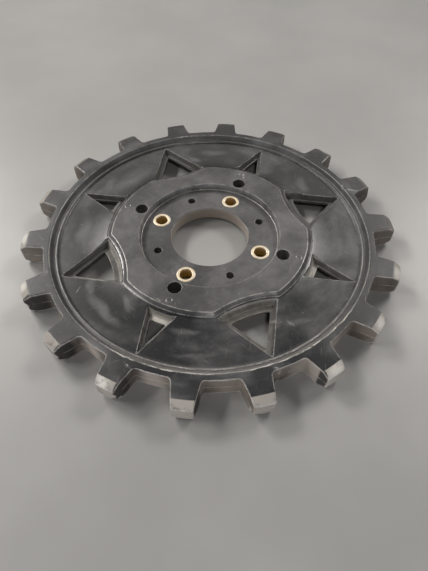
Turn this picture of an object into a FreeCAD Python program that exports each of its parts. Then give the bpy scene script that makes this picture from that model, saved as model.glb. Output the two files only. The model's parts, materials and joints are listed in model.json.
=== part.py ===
import FreeCAD, Part
import math
import os

# Track drive sprocket: one black moulding with four brass bolt bushes pressed into its hub.
# The part frame has its origin on the bore axis, level with the lower face of the teeth.
# +Z runs up the bore axis. Lengths are in millimetres, angles in degrees from +X.

# Teeth and rim
tooth_count = 18
first_tooth_angle = -16.3
outside_diameter = 377.0
root_diameter = 329.0
rim_width = 25.0
tooth_crest_width = 18.8
tooth_flank_angle = 8.5
tooth_root_fillet = 4.0
tooth_bevel_length = 7.5
tooth_bevel_height = 4.7
mould_draft = 1.5

# Inner edge of the rim, with the bead and groove that frame the web
rim_inner_diameter = 316.0
groove_diameter = 308.6
groove_depth = 4.9
bead_diameter = 304.4
bead_depth = 4.1
bead_crest_width = 0.9

# Web between the rim and the hub, flat outside and flared up to the hub on both faces
web_diameter = 300.6
web_depth = 6.2
flare_diameter = 240.0
flare_depth_at_hub = 3.3

# Hub boss with four round lobes and four hollow bites
bolt_angle = -24.0
lobe_diameter = 197.0
bite_depth = 10.0
bite_radius = 99.0
boss_depth = 1.0
boss_bevel_width = 3.4

# Bore, bolt recess and bolt holes
bore_diameter = 79.2
bore_chamfer = 0.6
recess_diameter = 140.8
recess_depth = 8.4
recess_chamfer = 0.8
underside_recess_depth = 3.0
bush_circle_diameter = 110.0
bush_outside_diameter = 18.0
bush_bore_diameter = 12.5
bush_stand_out = 0.2
bush_fit_gap = 0.02
wide_bolt_circle_diameter = 156.0
wide_bolt_hole_diameter = 13.3
dowel_circle_diameter = 110.0
dowel_hole_diameter = 8.0

# Windows through the web, with a thin land left standing at half thickness
window_draft = 24.0
window_apex_radius = 150.0
land_thickness = 3.0
wide_window_base_radius = 98.5
wide_window_half_width = 28.5
wide_window_base_sagitta = 4.0
wide_land_side = 3.0
wide_land_base = 6.0
narrow_window_base_radius = 104.5
narrow_window_half_width = 13.5
narrow_window_base_sagitta = -1.6
narrow_land_side = 1.2
narrow_land_base = 4.2

# Room that a cutting tool keeps past the face it starts from
tool_overrun = 4.0

# Worked out from the sizes above
outside_radius = outside_diameter / 2
root_radius = root_diameter / 2
mid_height = rim_width / 2
boss_height = rim_width - boss_depth
bite_throat_radius = lobe_diameter / 2 - bite_depth
pitch_angle = 360.0 / tooth_count
hub_symmetry = 4
quarter_turn = 360.0 / hub_symmetry
eighth_turn = quarter_turn / 2
axis_point = FreeCAD.Vector(0, 0, 0)
axis_direction = FreeCAD.Vector(0, 0, 1)


def vector(x, y, z=0.0):
    return FreeCAD.Vector(x, y, z)


def polar(radius, angle, z=0.0):
    turn = math.radians(angle)
    return vector(radius * math.cos(turn), radius * math.sin(turn), z)


def section_point(radius, depth):
    """A point of the half section, with its depth taken down from the upper rim face."""
    return vector(radius, 0, rim_width - depth)


def line(start, end):
    return Part.LineSegment(start, end).toShape()


def arc(start, middle, end):
    return Part.Arc(start, middle, end).toShape()


def mirrored_across_mid_height(shape):
    return shape.mirror(vector(0, 0, mid_height), axis_direction)


def turned(outline):
    """A solid turned about the bore axis from the points of its half section."""
    face = Part.Face(Part.makePolygon(outline + outline[:1]))
    return face.revolve(axis_point, axis_direction, 360)


def copies_about_axis(shape, count, start_angle):
    step = 360.0 / count
    placed = []
    for index in range(count):
        copy = shape.copy()
        copy.rotate(axis_point, axis_direction, start_angle + index * step)
        placed.append(copy)
    return placed


def upper_section():
    """The upper face of hub plate, web, bead, groove and rim, from the hub out to the tooth crest."""
    return [
        section_point(bite_throat_radius - boss_bevel_width, flare_depth_at_hub),
        section_point(bite_throat_radius + boss_bevel_width, flare_depth_at_hub),
        section_point(flare_diameter / 2, web_depth),
        section_point(web_diameter / 2, web_depth),
        section_point((bead_diameter - bead_crest_width) / 2, bead_depth),
        section_point((bead_diameter + bead_crest_width) / 2, bead_depth),
        section_point(groove_diameter / 2, groove_depth),
        section_point(rim_inner_diameter / 2, 0),
        section_point(outside_radius - tooth_bevel_length, 0),
        section_point(outside_radius, tooth_bevel_height),
    ]


def turned_blank():
    """Rim, web and hub plate before the teeth, windows and holes are cut."""
    upper = upper_section()
    lower = [vector(point.x, 0, rim_width - point.z) for point in reversed(upper)]
    return turned(upper + lower)


def tooth_gap_wire(height):
    """The outline of one gap between teeth, opened by the mould draft away from mid height."""
    growth = abs(height - mid_height) * math.tan(math.radians(mould_draft))
    half_pitch = pitch_angle / 2
    slope = math.radians(half_pitch + tooth_flank_angle)
    along = vector(math.cos(slope), math.sin(slope))
    into_gap = vector(math.sin(slope), -math.cos(slope))
    tooth_axis = polar(outside_radius, half_pitch)
    across_tooth = polar(tooth_crest_width / 2, half_pitch - 90)
    crest_corner = tooth_axis + across_tooth - into_gap * growth
    radius = root_radius - growth
    fillet_base = crest_corner + into_gap * tooth_root_fillet
    reach = radius + tooth_root_fillet
    forward = fillet_base.dot(along)
    inward = math.sqrt(forward**2 - fillet_base.dot(fillet_base) + reach**2)
    centre = fillet_base + along * (inward - forward)
    flank_foot = centre - into_gap * tooth_root_fillet
    root_start = centre * (radius / reach)
    toward_corner = (into_gap * -1 - centre / reach).normalize()
    fillet_middle = centre + toward_corner * tooth_root_fillet
    mouth = crest_corner + along * (2 * tool_overrun)

    def lift(point, side=1):
        return vector(point.x, side * point.y, height)

    return Part.Wire([
        line(lift(mouth), lift(flank_foot)),
        arc(lift(flank_foot), lift(fillet_middle), lift(root_start)),
        arc(lift(root_start), vector(radius, 0, height), lift(root_start, -1)),
        arc(lift(root_start, -1), lift(fillet_middle, -1), lift(flank_foot, -1)),
        line(lift(flank_foot, -1), lift(mouth, -1)),
        line(lift(mouth, -1), lift(mouth)),
    ])


def tooth_gaps():
    upper = Part.makeLoft([tooth_gap_wire(mid_height), tooth_gap_wire(rim_width + tool_overrun)], True, True)
    gap = upper.fuse(mirrored_across_mid_height(upper))
    return copies_about_axis(gap, tooth_count, first_tooth_angle + pitch_angle / 2)


def boss_wire(offset, height):
    """The lobed hub outline, moved outward by an offset."""
    lobe_radius = lobe_diameter / 2 + offset
    hollow_radius = bite_radius - offset
    hollow_centre = bite_throat_radius + bite_radius
    cosine = (lobe_radius**2 + hollow_centre**2 - hollow_radius**2) / (2 * lobe_radius * hollow_centre)
    corner_angle = math.degrees(math.acos(cosine))
    edges = []
    for index in range(hub_symmetry):
        lobe_angle = bolt_angle + index * quarter_turn
        bite_angle = lobe_angle + eighth_turn
        lobe_start = polar(lobe_radius, lobe_angle - eighth_turn + corner_angle, height)
        lobe_end = polar(lobe_radius, bite_angle - corner_angle, height)
        next_start = polar(lobe_radius, bite_angle + corner_angle, height)
        edges.append(arc(lobe_start, polar(lobe_radius, lobe_angle, height), lobe_end))
        edges.append(arc(lobe_end, polar(hollow_centre - hollow_radius, bite_angle, height), next_start))
    return Part.Wire(edges)


def hub_boss():
    """The raised hub with its bevelled edge, on both faces of the web."""
    foot_height = rim_width - flare_depth_at_hub
    core = Part.Face(boss_wire(boss_bevel_width, mid_height)).extrude(vector(0, 0, foot_height - mid_height))
    bevel = Part.makeLoft([boss_wire(boss_bevel_width, foot_height), boss_wire(0, boss_height)], True, True)
    upper = core.fuse(bevel)
    return upper.fuse(mirrored_across_mid_height(upper)).removeSplitter()


def hub_hollow():
    """The bore with the bolt recess above it and the shallow recess below."""
    bore = bore_diameter / 2
    recess = recess_diameter / 2
    floor = rim_width - recess_depth
    ceiling = underside_recess_depth
    top = boss_height + tool_overrun
    return turned([
        vector(0, 0, -tool_overrun),
        vector(recess, 0, -tool_overrun),
        vector(recess, 0, ceiling),
        vector(bore + bore_chamfer, 0, ceiling),
        vector(bore, 0, ceiling + bore_chamfer),
        vector(bore, 0, floor - bore_chamfer),
        vector(bore + bore_chamfer, 0, floor),
        vector(recess, 0, floor),
        vector(recess, 0, boss_height - recess_chamfer),
        vector(recess + recess_chamfer + tool_overrun, 0, top),
        vector(0, 0, top),
    ])


def round_holes(diameter, circle_diameter, start_angle):
    height = rim_width + 2 * tool_overrun
    hole = Part.makeCylinder(diameter / 2, height, vector(circle_diameter / 2, 0, -tool_overrun))
    return copies_about_axis(hole, hub_symmetry, start_angle)


def window_outline(base_radius, half_width, base_sagitta, side_inset, base_inset, height):
    """A three sided outline on +X, apex outward, with a curved base beside the hub."""
    half_apex = math.atan2(half_width, window_apex_radius - base_radius)
    apex = window_apex_radius - side_inset / math.sin(half_apex)
    base = base_radius + base_inset
    half_base = (apex - base) * math.tan(half_apex)
    sagitta = base_sagitta * (half_base / half_width) ** 2
    tip = vector(apex, 0, height)
    left = vector(base, half_base, height)
    right = vector(base, -half_base, height)
    return Part.Wire([line(left, tip), line(tip, right), arc(right, vector(base - sagitta, 0, height), left)])


def window_cutter(base_radius, half_width, base_sagitta, land_side, land_base):
    """The upper pocket and the mirrored lower pocket, joined by the smaller opening in the land."""
    land_top = mid_height + land_thickness / 2
    web_height = rim_width - web_depth
    lean = math.tan(math.radians(window_draft))
    floor_inset = (web_height - land_top) * lean

    def outline(side_inset, base_inset, height):
        return window_outline(base_radius, half_width, base_sagitta, side_inset, base_inset, height)

    top_inset = -(web_depth + tool_overrun) * lean
    pocket = Part.makeLoft([
        outline(floor_inset, floor_inset, land_top),
        outline(top_inset, top_inset, rim_width + tool_overrun),
    ], True, True)
    opening_outline = outline(floor_inset + land_side, floor_inset + land_base, mid_height - land_thickness)
    opening = Part.Face(opening_outline).extrude(axis_direction * (2 * land_thickness))
    return pocket.fuse([mirrored_across_mid_height(pocket), opening])


def windows():
    wide = window_cutter(wide_window_base_radius, wide_window_half_width, wide_window_base_sagitta,
                         wide_land_side, wide_land_base)
    narrow = window_cutter(narrow_window_base_radius, narrow_window_half_width, narrow_window_base_sagitta,
                           narrow_land_side, narrow_land_base)
    return (copies_about_axis(wide, hub_symmetry, bolt_angle + eighth_turn)
            + copies_about_axis(narrow, hub_symmetry, bolt_angle))


def sprocket_body():
    body = turned_blank().cut(windows() + tooth_gaps()).fuse(hub_boss())
    tools = [hub_hollow()]
    tools += round_holes(bush_outside_diameter + 2 * bush_fit_gap, bush_circle_diameter, bolt_angle)
    tools += round_holes(wide_bolt_hole_diameter, wide_bolt_circle_diameter, bolt_angle)
    tools += round_holes(dowel_hole_diameter, dowel_circle_diameter, bolt_angle + eighth_turn)
    return body.cut(tools)


def brass_bush():
    """One bush on +X: a turned sleeve through the hub plate."""
    inner = bush_bore_diameter / 2
    outer = bush_outside_diameter / 2
    low = underside_recess_depth
    high = rim_width - recess_depth + bush_stand_out
    sleeve = turned([vector(inner, 0, low), vector(outer, 0, low), vector(outer, 0, high), vector(inner, 0, high)])
    sleeve.translate(vector(bush_circle_diameter / 2, 0))
    return sleeve


def single_solid(shape):
    """The one solid of a finished shape, with leftover seams between like faces removed."""
    solid = shape.removeSplitter().Solids[0]
    print(f"{len(shape.Solids)} solid, volume {solid.Volume / 1000:.1f} cm3, valid {solid.isValid()}")
    return solid


os.makedirs("parts", exist_ok=True)
single_solid(sprocket_body()).exportStep("parts/sprocket_body.step")
for number, bush in enumerate(copies_about_axis(brass_bush(), hub_symmetry, bolt_angle), start=1):
    single_solid(bush).exportStep(f"parts/brass_bush_{number}.step")
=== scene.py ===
# %% [markdown]
# # A moulded track drive sprocket
# The real part is one black plastic moulding with four brass bushes in its hub. It is nearly flat,
# and its two faces are the same shape, so it is built as a relief: a drawing seen from above, in which
# every point gets a depth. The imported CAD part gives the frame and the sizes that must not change.

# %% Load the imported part
import json
import math
from functools import partial, reduce

import bpy
import numpy as np
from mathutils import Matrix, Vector
from mathutils.geometry import delaunay_2d_cdt
from mathutils.noise import noise as worn_noise


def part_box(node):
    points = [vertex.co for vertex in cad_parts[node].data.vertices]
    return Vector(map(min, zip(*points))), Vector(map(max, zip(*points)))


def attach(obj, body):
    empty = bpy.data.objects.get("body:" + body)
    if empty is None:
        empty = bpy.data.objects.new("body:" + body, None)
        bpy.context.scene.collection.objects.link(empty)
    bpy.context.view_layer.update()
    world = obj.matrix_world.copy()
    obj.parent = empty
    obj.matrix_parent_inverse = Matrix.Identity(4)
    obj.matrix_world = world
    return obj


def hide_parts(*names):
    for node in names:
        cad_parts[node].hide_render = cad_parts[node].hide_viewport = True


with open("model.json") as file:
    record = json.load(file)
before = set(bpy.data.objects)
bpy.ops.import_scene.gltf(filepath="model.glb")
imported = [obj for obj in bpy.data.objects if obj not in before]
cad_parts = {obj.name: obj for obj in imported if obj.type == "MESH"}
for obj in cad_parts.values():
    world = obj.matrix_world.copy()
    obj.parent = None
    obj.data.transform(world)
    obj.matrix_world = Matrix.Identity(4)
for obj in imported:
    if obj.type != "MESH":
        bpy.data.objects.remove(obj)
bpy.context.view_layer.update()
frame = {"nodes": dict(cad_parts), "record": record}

print("CAD nodes:", sorted(frame["nodes"]))

# %% [markdown]
# ## Sizes
# The lengths are in millimetres, as on a drawing, and the finished meshes are in metres. The outer
# radius and the width are measured on the CAD body, and the hole circles come from the record's mounts,
# so the dressed part keeps to the solids. The others repeat the drawing of the part.

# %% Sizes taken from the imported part
MM = 0.001
body_low, body_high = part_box("sprocket_body")
body_points = np.array([vertex.co for vertex in frame["nodes"]["sprocket_body"].data.vertices]) / MM
mounts = {mount["name"]: mount["dims"] for mount in frame["record"]["mounts"]}

WIDTH = (body_high.z - body_low.z) / MM
MID_HEIGHT = WIDTH / 2
CREST_RADIUS = float(np.hypot(body_points[:, 0], body_points[:, 1]).max())
BORE_RADIUS = mounts["bore"]["r_mm"]
BOLT_CIRCLE = mounts["bush_bolt_circle"]["pcd_mm"] / 2
WIDE_CIRCLE = mounts["wide_bolt_circle"]["pcd_mm"] / 2
WIDE_HOLE = mounts["wide_bolt_circle"]["hole_r_mm"]
DOWEL_HOLE = mounts["dowel_circle"]["hole_r_mm"]
BUSH_INNER = mounts["bush_bolt_circle"]["hole_r_mm"]
print(f"width {WIDTH:.2f}, crest radius {CREST_RADIUS:.2f}, bore radius {BORE_RADIUS}")

# %% Sizes of teeth, hub and windows
TEETH, FIRST_TOOTH, BOLT_ANGLE, QUARTERS = 18, -16.3, -24.0, 4
PITCH = 360 / TEETH
ROOT_RADIUS, CREST_HALF_WIDTH, FLANK_ANGLE, ROOT_FILLET, TIP_RADIUS = 164.5, 9.4, 8.5, 4.0, 1.6
DRAFT = math.tan(math.radians(1.5))
LOBE_RADIUS, BITE_DEPTH, BITE_RADIUS, BOSS_DEPTH, BOSS_SLOPE = 98.5, 10.0, 99.0, 1.0, 0.72
RECESS_RADIUS, RECESS_DEPTH, UNDERSIDE_DEPTH, BUSH_OUTER = 70.4, 8.4, 3.0, 9.0
WEB_DEPTH, LAND_DEPTH, APEX_RADIUS = 6.2, 11.0, 150.0
WALL_LEAN = math.tan(math.radians(24))
WIDE_WINDOW = {"base": 98.5, "half": 28.5, "sag": 4.0, "corner": 2.4, "side": 3.0, "foot": 6.0}
NARROW_WINDOW = {"base": 104.5, "half": 13.5, "sag": -1.6, "corner": 1.4, "side": 1.2, "foot": 4.2}
print(f"{TEETH} teeth, pitch {PITCH:.1f} degrees")

# %% [markdown]
# ## The turned section
# Rim, bead, groove and web are rings, so their depth below the tooth face depends on the radius alone.
# A short list of radius and depth pairs is the section that a lathe tool would follow. Small steps in it
# round the bead and the edges, and they catch thin lines of light as the real edges do.

# %% Depth by radius
def eased(start, end, depth_start, depth_end, steps=7):
    """Section points that leave and arrive level, as between the hub flare and the flat web."""
    t = np.linspace(0, 1, steps)
    radii = start + (end - start) * t
    depths = depth_start + (depth_end - depth_start) * t * t * (3 - 2 * t)
    return list(zip(radii, depths))


SECTION = np.array(
    [(0, 3.3), (90, 3.3)] + eased(92, 123, 3.3, WEB_DEPTH)
    + [(148.0, 6.2), (148.8, 6.2), (149.8, 6.1), (150.5, 5.6), (151.1, 4.7), (151.6, 4.25), (152.2, 4.1),
       (152.9, 4.2), (153.6, 4.6), (154.3, 4.9), (155.0, 4.6), (156.0, 3.1), (157.1, 1.35),
       (157.7, 0.55), (158.3, 0.14), (159.0, 0.0), (159.8, 0.0), (179.4, 0.0), (180.2, 0.0),
       (181.0, 0.14), (182.0, 0.6),
       (187.3, 3.95), (188.2, 4.6), (192.0, 7.4)])
print(f"section of {len(SECTION)} points")

# %% [markdown]
# ## Distances that shape the relief
# Each feature is a distance in plan: how far a point lies outside the hub boss, inside a window, or away
# from the tooth outline. A depth is then a plain function of those distances, and two depths meet in a
# small rounded fillet where the larger or smaller one is taken softly.

# %% Soft maximum, soft minimum and edge rounding
def soft_max(a, b, reach):
    mix = np.clip(0.5 + 0.5 * (a - b) / reach, 0, 1)
    return b + (a - b) * mix + reach * mix * (1 - mix)


def soft_min(a, b, reach):
    return -soft_max(-a, -b, reach)


def edge_drop(distance, radius):
    """How far a rounded edge falls away, for points nearer to the edge than its radius."""
    inward = np.clip(radius - distance, 0, radius)
    return radius - np.sqrt(radius ** 2 - inward ** 2)


def polar(radius, degrees):
    angle = np.radians(degrees)
    return np.stack([radius * np.cos(angle), radius * np.sin(angle)], -1)


print("a rounded edge of 1 mm drops", edge_drop(np.array([0.0, 0.5, 1.0]), 1.0).round(2))


# %% Distance outside the hub boss
def boss_distance(points):
    hollow_centre = LOBE_RADIUS - BITE_DEPTH + BITE_RADIUS
    distance = np.hypot(*points.T) - LOBE_RADIUS
    for quarter in range(QUARTERS):
        centre = polar(hollow_centre, BOLT_ANGLE + 45 + 90 * quarter)
        distance = np.maximum(distance, BITE_RADIUS - np.hypot(*(points - centre).T))
    return distance


print("boss at its lobe and its bite:", boss_distance(polar(np.array([98.5, 88.5]), np.array([-24, 21]))))


# %% Distance inside a window
def window_distance(points, window, angle, side_inset=0.0, base_inset=0.0):
    """Distance inside the three sided outline of a window whose apex points outward at an angle."""
    turn = math.radians(angle)
    along = points @ np.array([math.cos(turn), math.sin(turn)])
    across = np.abs(points @ np.array([-math.sin(turn), math.cos(turn)]))
    half_apex = math.atan2(window["half"], APEX_RADIUS - window["base"])
    side = (APEX_RADIUS - along) * math.sin(half_apex) - across * math.cos(half_apex) - side_inset
    bulge = window["sag"] * (1 - (across / window["half"]) ** 2)
    base = along - (window["base"] + base_inset - bulge)
    apex = (APEX_RADIUS - along) * math.sin(half_apex) - side_inset
    inside = soft_min(side, base, window["corner"])
    return soft_min(inside, apex * 0.9, window["corner"])


def land_distance(points, window, angle):
    """Distance inside the opening through the land at the foot of the drafted walls."""
    wall_run = (LAND_DEPTH - WEB_DEPTH) * WALL_LEAN
    return window_distance(points, window, angle, wall_run + window["side"], wall_run + window["foot"])


WINDOWS = [(WIDE_WINDOW, BOLT_ANGLE + 45 + 90 * k) for k in range(QUARTERS)]
WINDOWS += [(NARROW_WINDOW, BOLT_ANGLE + 90 * k) for k in range(QUARTERS)]
HOLES = [(polar(BOLT_CIRCLE, BOLT_ANGLE + 90 * k), BUSH_OUTER + 0.02) for k in range(QUARTERS)]
HOLES += [(polar(WIDE_CIRCLE, BOLT_ANGLE + 90 * k), WIDE_HOLE) for k in range(QUARTERS)]
HOLES += [(polar(BOLT_CIRCLE, BOLT_ANGLE + 45 + 90 * k), DOWEL_HOLE) for k in range(QUARTERS)]
GATES = [polar(93.0, BOLT_ANGLE + 90 * k + 1.5) for k in range(QUARTERS)]
GATE_RADIUS = 2.8
print(len(WINDOWS), "windows,", len(HOLES), "round holes and", len(GATES), "gate marks")


# %% [markdown]
# ## The tooth outline
# Half a gap is drawn once, from the middle of its root to the middle of a tooth crest: a root arc, a
# fillet, a straight flank, a rounded tip and the crest. Mirroring and turning it gives all eighteen
# teeth. The moulding draft makes the gaps a little wider at the two faces than at mid height.

# %% Half a gap, then the whole outline
def half_gap(growth):
    slope = math.radians(PITCH / 2 + FLANK_ANGLE)
    along = np.array([math.cos(slope), math.sin(slope)])
    into_gap = np.array([math.sin(slope), -math.cos(slope)])
    flank = polar(CREST_RADIUS, PITCH / 2) + polar(CREST_HALF_WIDTH, PITCH / 2 - 90) - into_gap * growth
    root = ROOT_RADIUS - growth
    base = flank + into_gap * ROOT_FILLET
    forward = base @ along
    centre = base + along * (math.sqrt(forward ** 2 - base @ base + (root + ROOT_FILLET) ** 2) - forward)
    foot = centre - into_gap * ROOT_FILLET
    root_end = centre * root / (root + ROOT_FILLET)
    start, end = np.unwrap([math.atan2(*(point - centre)[::-1]) for point in (root_end, foot)])
    fillet = centre + ROOT_FILLET * polar(1, np.degrees(np.linspace(start, end, 8)))
    reach = flank @ along
    tip = flank + along * (math.sqrt(reach ** 2 - flank @ flank + CREST_RADIUS ** 2) - reach)
    tip_angle = math.degrees(math.atan2(tip[1], tip[0]))
    crest_start = tip_angle + math.degrees(TIP_RADIUS / CREST_RADIUS)
    t = np.linspace(0, 1, 6)[:, None]
    flank_end = tip - along * TIP_RADIUS
    tip_arc = flank_end * (1 - t) ** 2 + tip * 2 * t * (1 - t) + polar(CREST_RADIUS, crest_start) * t ** 2
    root_arc = polar(root, np.linspace(0, math.degrees(math.atan2(root_end[1], root_end[0])), 4))
    crest = polar(CREST_RADIUS, np.linspace(crest_start, PITCH / 2, 4))
    flank_line = foot + (flank_end - foot) * np.linspace(0, 1, 8)[:, None]
    return np.vstack([root_arc, fillet[1:], flank_line[1:], tip_arc[1:], crest[1:]])


def turned(points, degrees):
    turn = math.radians(degrees)
    return points @ np.array([[math.cos(turn), math.sin(turn)], [-math.sin(turn), math.cos(turn)]])


FACE_GROWTH = MID_HEIGHT * DRAFT
half = half_gap(FACE_GROWTH)
pitch_line = np.vstack([half[:0:-1] * [1, -1], half[:-1]])
OUTLINE = np.vstack([turned(pitch_line, FIRST_TOOTH + PITCH * (k + 0.5)) for k in range(TEETH)])
# The track has worn the outline away in lumps: how deep at most, and about how long each is.
DEEPEST_WEAR, WEAR_LUMP = 0.3, 7
lumps = np.array([worn_noise(Vector((*point, 0)) / WEAR_LUMP) for point in OUTLINE])
worn_off = DEEPEST_WEAR * np.clip(lumps + 0.2, 0, 1)
OUTLINE = OUTLINE - OUTLINE / np.hypot(*OUTLINE.T)[:, None] * worn_off[:, None]
print(f"tooth outline of {len(OUTLINE)} points, worn by up to {worn_off.max():.2f} mm")


# %% Distance inside the tooth outline
TOOTH_MARGIN = 4.0


def outline_radius(points):
    angles = np.degrees(np.arctan2(points[:, 1], points[:, 0]))
    return np.interp(angles, np.degrees(np.arctan2(*OUTLINE.T[::-1])), np.hypot(*OUTLINE.T), period=360)


def outline_distance(points):
    """Distance to the nearest stretch of the tooth outline, worked out only near the rim."""
    distance = np.full(len(points), 99.0)
    close = np.flatnonzero(np.hypot(*points.T) > ROOT_RADIUS - TOOTH_MARGIN)
    starts, ends = OUTLINE, np.roll(OUTLINE, -1, axis=0)
    runs = ends - starts
    for block in np.array_split(close, max(1, len(close) // 500)):
        offset = points[block][:, None] - starts
        t = np.clip((offset * runs).sum(-1) / (runs ** 2).sum(-1), 0, 1)
        distance[block] = np.hypot(*np.moveaxis(offset - t[..., None] * runs, -1, 0)).min(1)
    return distance


def offset_loop(loop, distance):
    """The loop moved to its left by a distance, with mitred corners."""
    before = loop - np.roll(loop, 1, axis=0)
    after = np.roll(loop, -1, axis=0) - loop
    normals = [np.stack([-run[:, 1], run[:, 0]], -1) / np.hypot(*run.T)[:, None] for run in (before, after)]
    middle = normals[0] + normals[1]
    middle /= (middle ** 2).sum(-1)[:, None] / 2
    return loop + middle * distance


tooth_middle = polar(np.array([180.0]), np.array([FIRST_TOOTH]))
print("distance at a tooth middle:", outline_distance(tooth_middle).round(2))

# %% [markdown]
# ## The relief
# The upper and lower face differ only in their round recess: deep and wide for the bolts above, shallow
# below. A face's depth is the boss or the section, whichever stands higher, cut by the window pockets
# and softened along every edge. The same pass notes how close each point is to an exposed edge, which
# the material later turns into worn, paler plastic. A few of these lines, at the foot of the boss bevel
# and along the rim edge and the bead, are painted highlights as much as wear.

# %% Depth of a face at any point
WALL_RUN = 0.05
FOOT_FILLET = 1.7
RECESS_EDGE = 1.0
BEVEL_RADIUS, BEVEL_WEAR, BEVEL_LUMP = 181.0, 0.9, 5
GATE_RISE, GATE_DIP = 0.25, 0.12


def recess_floor(radius, floor):
    """A near upright wall with a rounded top edge and a small fillet round its floor."""
    steps = [(-1.4, floor), (-0.9, floor - 0.14), (-0.4, floor - 0.5), (-WALL_RUN, floor - 1.2),
             (WALL_RUN, BOSS_DEPTH + 0.7), (0.3, BOSS_DEPTH + 0.22), (RECESS_EDGE, 0)]
    beyond_wall, depth = np.array(steps).T
    return np.interp(radius - RECESS_RADIUS, beyond_wall, depth)


def near(distance, reach):
    """1 on an edge, falling to 0 at its reach, so that wear ends where the guide lines do."""
    return np.clip(1 - np.abs(distance) / reach, 0, 1)


def worn_radius(points):
    """The radius, made uneven near the tooth bevels, where the track has rubbed."""
    radius = np.hypot(*points.T)
    for index in np.flatnonzero(radius > BEVEL_RADIUS - 2):
        radius[index] += BEVEL_WEAR * worn_noise(Vector((*points[index], 3.0)) / BEVEL_LUMP)
    return radius


def face_depth(points, floor):
    """Depth below the tooth face, and from 0 to 1 how exposed each point is to wear, with a few painted
    highlight lines among them.
    """
    radius = np.hypot(*points.T)
    boss = boss_distance(points)
    outer = outline_distance(points)
    section = np.interp(worn_radius(points), SECTION[:, 0], SECTION[:, 1])
    hub = soft_max(np.full(len(points), BOSS_DEPTH), BOSS_DEPTH + BOSS_SLOPE * boss, 0.5)
    depth = soft_min(section, hub, FOOT_FILLET)
    wear_and_highlight = np.maximum(near(boss + 0.1, 0.9), near(radius - RECESS_RADIUS - 0.4, 0.7))
    # A pale line along the foot of the boss bevel is a painted highlight, not wear.
    wear_and_highlight = np.maximum(wear_and_highlight, near(boss - 3.6, 0.9) * 0.7)
    in_recess = radius < RECESS_RADIUS + RECESS_EDGE
    depth = np.where(in_recess, np.maximum(depth, recess_floor(radius, floor)), depth)
    for window, angle in WINDOWS:
        inside = window_distance(points, window, angle)
        pocket = soft_min(WEB_DEPTH + inside / WALL_LEAN, np.full(len(points), LAND_DEPTH), 0.7)
        cut = soft_max(depth, pocket, 0.9)
        depth = np.where(inside > -3, cut, depth)
        wear_and_highlight = np.maximum(wear_and_highlight, near(inside + 0.35, 0.7))
        depth += edge_drop(np.abs(land_distance(points, window, angle)), 0.5)
    for centre, hole in HOLES:
        beyond = np.hypot(*(points - centre).T) - hole
        depth += edge_drop(np.abs(beyond), 0.45)
        wear_and_highlight = np.maximum(wear_and_highlight, near(beyond - 0.2, 0.6) * 0.7)
    for centre in GATES:
        ring = np.hypot(*(points - centre).T) - GATE_RADIUS
        depth -= near(ring, 0.7) * GATE_RISE - (ring < -0.7) * GATE_DIP
        wear_and_highlight = np.maximum(wear_and_highlight, near(ring, 0.8) * 0.6)
    depth += edge_drop(np.abs(radius - BORE_RADIUS), 0.7) + edge_drop(outer, 0.9)
    # The pale lines on the rim's inner edge and on the bead crest are partly edge wear and partly painted
    # highlight lines.
    rim_edges = np.maximum(near(radius - 158.2, 0.8), near(radius - 152.2, 0.8) * 0.7)
    rim_edges = np.maximum(rim_edges, near(radius - CREST_RADIUS, 1.0))
    return depth, np.maximum.reduce([wear_and_highlight, rim_edges, near(outer, 0.9)])


sample = polar(np.array([60.0, 85.0, 130.0, 170.0]), np.array([0.0, 0.0, 0.0, FIRST_TOOTH]))
print("depths at recess, boss, web and rim:", face_depth(sample, RECESS_DEPTH)[0].round(2))

# %% [markdown]
# ## Guide lines for the mesh
# A mesh shows a rounded edge only where it has points on it. So the plan gets closed guide lines along
# the features: circles for the turned section, and lines of equal distance for the boss, the windows
# and the holes. A Delaunay triangulation that keeps those lines then joins everything up.

# %% Lines of equal distance, found by halving along rays
def level_loop(distance, centre, level, degrees, reach):
    """The loop round a centre on which a distance function has a given level."""
    rays = polar(1.0, degrees)
    low, high = np.zeros(len(rays)), np.full(len(rays), reach)
    for _ in range(40):
        middle = (low + high) / 2
        beyond = distance(centre + rays * middle[:, None]) < level
        low, high = np.where(beyond, low, middle), np.where(beyond, middle, high)
    return centre + rays * low[:, None]


def window_rays(window, angle, centre_radius, per_side=24):
    """Ray angles that crowd together towards the three corners of a window."""
    corners = [np.array([APEX_RADIUS, 0]), np.array([window["base"], window["half"]]),
               np.array([window["base"], -window["half"]])]
    turns = [math.degrees(math.atan2(y, x - centre_radius)) for x, y in corners]
    turns = [turns[0], turns[1], turns[2] + 360, turns[0] + 360]
    t = np.linspace(0, 1, per_side, endpoint=False)
    t = t * t * (3 - 2 * t)
    return np.concatenate([a + (b - a) * t for a, b in zip(turns, turns[1:])]) + angle


def circle(radius, count, centre=(0, 0)):
    return np.array(centre) + polar(radius, np.arange(count) * 360 / count)


# %% All guide lines
guides = [offset_loop(OUTLINE, inward) for inward in (0, 0.12, 0.4, 0.9, 1.4)]
guides += [circle(radius, 216) for radius in SECTION[2:-1, 0]]
guides += [circle(radius, 180) for radius in (100, 128, 135, 142)]
recess_steps = (-1.4, -0.9, -0.4, -WALL_RUN, WALL_RUN, 0.3, 0.6, RECESS_EDGE, 1.6)
guides += [circle(RECESS_RADIUS + step, 180) for step in recess_steps]
guides += [circle(BORE_RADIUS + step, 128) for step in (0, 0.1, 0.35, 0.7, 1.2)]
boss_rays = np.arange(288) * 360 / 288 + BOLT_ANGLE
for level in (-1.6, -0.9, -0.4, 0, 0.4, 0.9, 1.6, 2.2, 2.9, 3.6, 4.3, 5.0, 5.8):
    guides.append(level_loop(lambda points: -boss_distance(points), np.zeros(2), -level, boss_rays, 130))
window_steps = (-2.3, -1.6, -0.9, -0.4, 0.1, 0.7, 1.5, 2.1, 2.7)
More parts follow.
